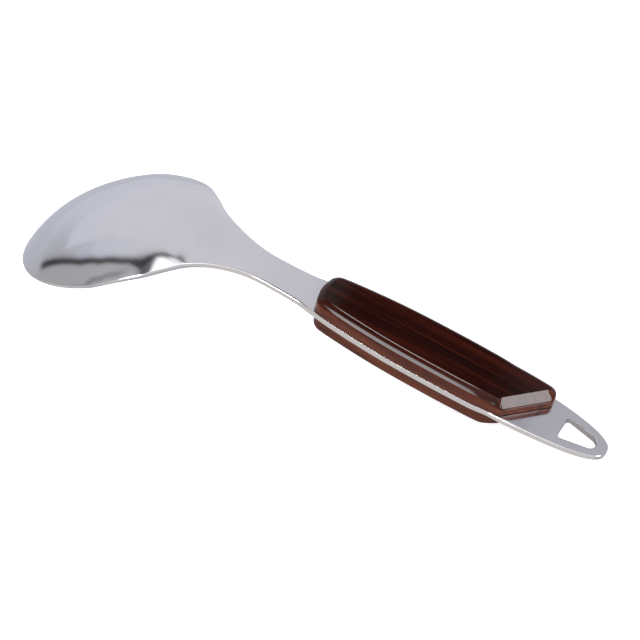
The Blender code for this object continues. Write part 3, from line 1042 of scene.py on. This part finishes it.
# %% Sky and slit
SLIT_OFFSET = 0.5
sky = graph(along_x, -1.0, 1.0, [
    (-1.0, (0.46, 0.46, 0.49)), (-0.95, (0.54, 0.545, 0.60)), (-0.85, (0.61, 0.615, 0.68)),
    (-0.5, (0.64, 0.64, 0.69)), (0.0, (0.68, 0.67, 0.70)), (0.5, (0.58, 0.57, 0.60)),
    (1.0, (0.50, 0.49, 0.52))])
slit_run = calculate(tree, "ADD", along_x, up_z)
slit_y = graph(slit_run, -1.25, 1.25, [
    (-1.19, 0.56), (-1.14, 0.53), (-0.94, 0.40), (-0.71, 0.26), (-0.15, 0.10), (0.22, 0.08),
    (0.65, 0.14), (0.91, 0.27), (1.06, 0.38), (1.17, 0.48)])
beside = calculate(tree, "SUBTRACT", across_y, calculate(tree, "SUBTRACT", slit_y, SLIT_OFFSET))
slit_width = graph(along_x, -1.0, 1.0, [(-0.4, 1.0), (-0.24, 2.0), (-0.05, 1.6), (0.06, 1.0), (0.5, 1.0)])
beside = calculate(tree, "DIVIDE", beside, slit_width)
shade = graph(beside, -0.4, 0.4, [
    (-0.4, 1.0), (-0.05, 1.0), (-0.035, 0.05), (0.018, 0.05), (0.04, 0.66), (0.075, 0.92), (0.12, 1.0)])
slit_end = graph(up_z, -1.0, 1.0, [(-0.19, 0.0), (-0.16, 1.0)])
shade = blend(slit_end, (1.0, 1.0, 1.0), shade)
print("sky and slit ready")

# %% Near cloth and the ground below
SEAM_OFFSET = 1.0
near_high = graph(along_x, -1.0, 1.0, [
    (-1.0, 0.42), (-0.4, 0.47), (-0.28, 0.40), (-0.2, 0.12), (0.03, 0.12), (0.10, 1.0), (1.0, 1.0)])
near_low = graph(along_x, -1.0, 1.0, [
    (-1.0, 0.42), (-0.4, 0.47), (-0.25, 0.55), (-0.1, 0.78), (0.02, 0.85), (0.12, 0.62), (1.0, 0.62)])
near_cloth = blend(graph(up_z, -1.0, 1.0, [(0.72, 0.0), (0.80, 1.0)]), near_low, near_high)
seam_y = graph(slit_run, -1.25, 1.25, [
    (-0.95, 0.62), (-0.73, 0.52), (-0.12, 0.41), (0.17, 0.44), (0.5, 0.55)])
from_seam = calculate(tree, "SUBTRACT", across_y, calculate(tree, "SUBTRACT", seam_y, SEAM_OFFSET))
seam = graph(from_seam, -0.2, 0.2, [(-0.024, 1.0), (-0.008, 0.35), (0.008, 0.35), (0.024, 1.0)])
seam_end = graph(along_x, -1.0, 1.0, [(-0.52, 0.0), (-0.36, 1.0)])
seam = blend(seam_end, seam, (1.0, 1.0, 1.0))
near_cloth = calculate(tree, "MULTIPLY", near_cloth, seam)
is_near = graph(beside, -0.4, 0.4, [(-0.05, 1.0), (-0.03, 0.0)])
cloth = blend(is_near, sky, near_cloth)
lit = node(tree, "ShaderNodeVectorMath", operation="MULTIPLY")
tree.links.new(cloth, lit.inputs[0])
tree.links.new(shade, lit.inputs[1])

below = graph(across_y, -1.0, 1.0, [
    (-0.9, (0.68, 0.63, 0.59)), (-0.4, (0.64, 0.60, 0.56)), (-0.1, (0.42, 0.42, 0.44)),
    (0.1, (0.48, 0.48, 0.52)), (0.6, (0.54, 0.55, 0.61))])
below_horizon = graph(up_z, -1.0, 1.0, [(-0.26, 1.0), (-0.16, 0.0)])
tent = blend(below_horizon, lit.outputs[0], below)
print("near cloth ready")

# %% Lamps behind the cloth


def window(source, low, high, soft):
    """1 between low and high, falling to 0 over a soft margin."""
    return graph(source, -1.0, 1.0, [
        (max(low - soft, -1.0), 0.0), (low, 1.0), (high, 1.0), (min(high + soft, 1.0), 0.0)])


def soft_box(glow, x_range, y_range, z_range):
    """Where on the tent a lamp shines through the cloth, and how brightly."""
    inside = calculate(tree, "MULTIPLY", window(along_x, *x_range, 0.06), window(across_y, *y_range, 0.04))
    inside = calculate(tree, "MULTIPLY", inside, window(up_z, *z_range, 0.05))
    return calculate(tree, "MULTIPLY", inside, glow)


near_box = soft_box(10.0, (-0.22, 0.0), (-0.93, -0.72), (0.38, 0.70))
tail_box = soft_box(11.0, (0.80, 0.93), (-0.36, -0.10), (0.37, 0.54))
open_top = soft_box(0.6, (0.07, 0.26), (-0.38, -0.18), (0.86, 0.99))
boxes = calculate(tree, "ADD", calculate(tree, "ADD", near_box, tail_box), open_top)
total = node(tree, "ShaderNodeVectorMath", operation="ADD")
tree.links.new(tent, total.inputs[0])
tree.links.new(boxes, total.inputs[1])
tree.links.new(total.outputs[0], background.inputs["Color"])
background.inputs["Strength"].default_value = 1.0
print("three lamps behind the cloth")

# %% [markdown]
# ## Overhead cloth
#
# A low cloth hangs just over the spoon, so how bright it looks depends on where on the spoon you stand:
# brightest over the bowl, greyer over the tab, and open over the handle so that the lacquer stays deep.
# Its near hem is dark over the neck, which draws a fine line along the steel's rolled edge, and a narrow
# lamp along the same hem lights the crease of the upper scale. One fold over the tail end shades the tang
# beside it. Only reflections can see this cloth.

# %% Overhead cloth
CLOTH_HALF_WIDTH = 0.6
CLOTH_OVERHANG = 0.02
CLOTH_HEIGHT = 0.13
cloth_mesh = bpy.data.meshes.new("overhead_cloth")
bm = bmesh.new()
bmesh.ops.create_grid(bm, x_segments=2, y_segments=2, size=1.0)
bm.to_mesh(cloth_mesh)
bm.free()
overhead = bpy.data.objects.new("overhead_cloth", cloth_mesh)
bpy.context.scene.collection.objects.link(overhead)
overhead.scale = (1.0, CLOTH_HALF_WIDTH, 1.0)
overhead.location = (0.0, CLOTH_HALF_WIDTH - CLOTH_OVERHANG, CLOTH_HEIGHT)
cloth_paint, tree, shader = new_material("overhead_cloth", roughness=0.9)
place = node(tree, "ShaderNodeSeparateXYZ")
tree.links.new(node(tree, "ShaderNodeTexCoord").outputs["Object"], place.inputs[0])
CLOTH_TONES = [
    (-1.0, (0.58, 0.585, 0.65)), (-0.4, (0.62, 0.62, 0.68)), (-0.1, (0.66, 0.655, 0.69)),
    (-0.03, (0.64, 0.63, 0.66)), (0.0, (0.58, 0.57, 0.60)), (0.01, (0.55, 0.54, 0.57)),
    (0.016, (0.10, 0.10, 0.10)), (0.080, (0.10, 0.10, 0.10)), (0.088, (0.42, 0.41, 0.44)),
    (0.13, (0.46, 0.45, 0.48)), (1.0, (0.46, 0.45, 0.48))]
glow = graph(place.outputs["X"], -1.0, 1.0, CLOTH_TONES)
print("overhead cloth", overhead.location.z, "m above the table")

# %% Hem, fold and lamp of the overhead cloth
HEM_DEPTH = 0.09
HEM_SOFTNESS = 0.015
HEM_TONE = (0.02, 0.02, 0.02)
FOLD_TONE = (0.10, 0.10, 0.10)
FOLD_STRENGTH = 0.75
HEM_LAMP = 16.0
strip = calculate(tree, "MULTIPLY", window(place.outputs["X"], 0.016, 0.078, 0.006),
                  window(place.outputs["Y"], -1.0, -0.915, 0.03))
hem_shape = graph(place.outputs["X"], -1.0, 1.0, [(-0.034, 0.0), (-0.004, 1.0), (0.012, 1.0), (0.018, 0.0)])
hem_depth = calculate(tree, "MULTIPLY", hem_shape, HEM_DEPTH)
within = calculate(tree, "SUBTRACT", hem_depth, calculate(tree, "ADD", place.outputs["Y"], 1.0))
hem = calculate(tree, "DIVIDE", within, HEM_SOFTNESS)
glow = blend(hem, glow, HEM_TONE)
fold = calculate(tree, "MULTIPLY", window(place.outputs["X"], 0.083, 0.090, 0.006),
                 window(place.outputs["Y"], -0.834, -0.818, 0.018))
glow = blend(calculate(tree, "MULTIPLY", fold, FOLD_STRENGTH), glow, FOLD_TONE)
glow_and_strip = node(tree, "ShaderNodeVectorMath", operation="ADD")
tree.links.new(glow, glow_and_strip.inputs[0])
tree.links.new(calculate(tree, "MULTIPLY", strip, HEM_LAMP), glow_and_strip.inputs[1])
tree.links.new(glow_and_strip.outputs[0], shader.inputs["Emission Color"])
shader.inputs["Emission Strength"].default_value = 1.0
shader.inputs["Base Color"].default_value = (0.0, 0.0, 0.0, 1.0)
cloth_mesh.materials.append(cloth_paint)
overhead.visible_camera = False
overhead.visible_diffuse = False
overhead.visible_shadow = False
print("hem, fold and lamp ready")

# %% [markdown]
# ## Camera
#
# A long lens from the near side and well above, with the bowl to the left, so the spoon runs across the
# picture from its bowl down to its hanging tab. A short lens would swell the bowl.

# %% Camera
CAMERA_DISTANCE = 1.6
CAMERA_TARGET = Vector((0.01967, -0.0316, 0.05164))
CAMERA_DIRECTION = Vector((0.3224, -0.6157, 0.7190)).normalized()
camera_data = bpy.data.cameras.new("camera")
camera_data.lens = 250.2
camera_data.sensor_width = 36.0
camera = bpy.data.objects.new("camera", camera_data)
bpy.context.scene.collection.objects.link(camera)
camera.location = CAMERA_TARGET + CAMERA_DIRECTION * CAMERA_DISTANCE
camera.rotation_mode = "QUATERNION"
camera.rotation_quaternion = (-CAMERA_DIRECTION).to_track_quat("-Z", "Y")
bpy.context.scene.camera = camera
bpy.context.scene.view_settings.view_transform = "Standard"
print("camera at", [round(value, 3) for value in camera.location])
